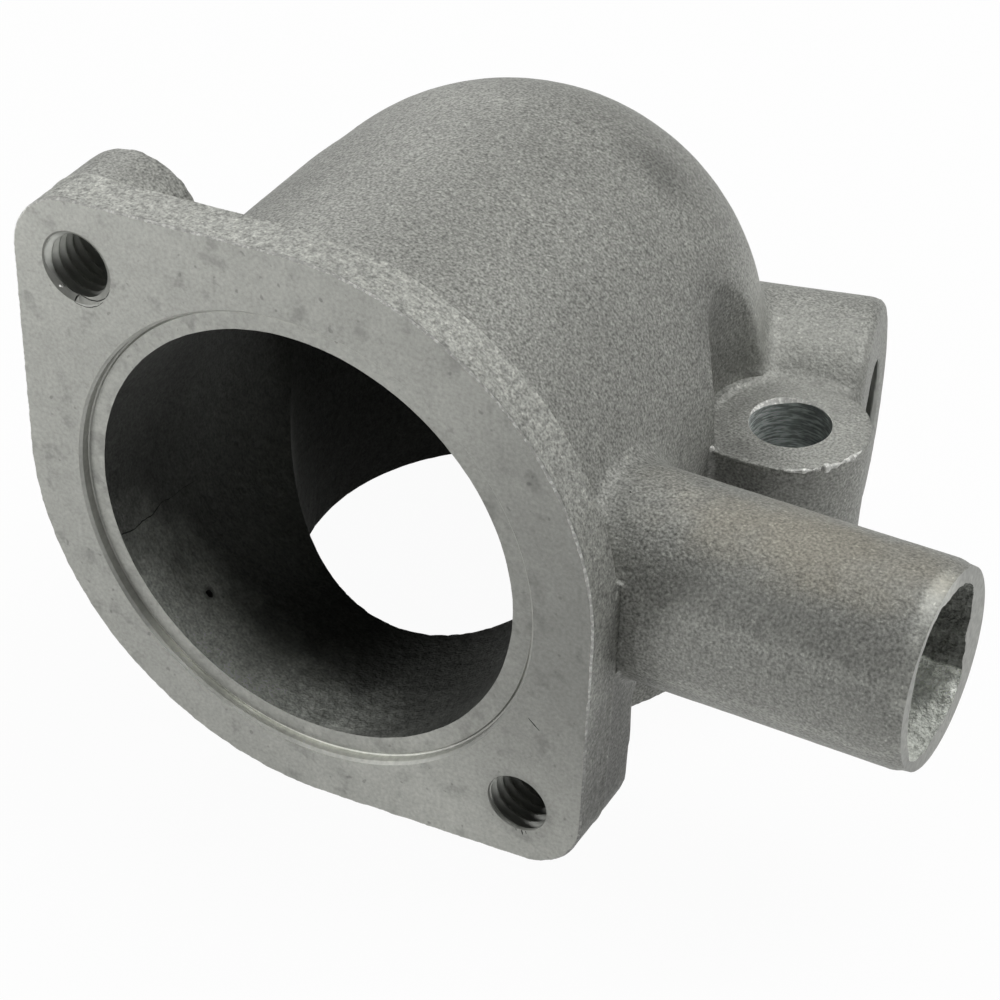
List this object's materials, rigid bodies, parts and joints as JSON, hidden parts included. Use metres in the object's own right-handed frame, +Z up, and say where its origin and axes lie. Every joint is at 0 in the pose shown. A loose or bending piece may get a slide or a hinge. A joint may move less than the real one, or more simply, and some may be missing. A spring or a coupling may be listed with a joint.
{
  "type": "thermostat housing",
  "caption": "Cast aluminium coolant elbow with a screwed front flange, a side hose spigot, a bolted base and a threaded sensor port.",
  "frame": {"origin": "centre of the round seat in the machined front face, in the plane of that face", "axes": "+Z up, away from the base; +Y from the front face into the casting; +X along the hose spigot"},
  "size_m": [0.1096, 0.0774, 0.0686],
  "materials": {
    "cast_aluminium": "as cast and bead-blasted, with a milled front face and tapped holes"
  },
  "bodies": {
    "root": {"housing": "cast_aluminium"}
  },
  "joints": []
}
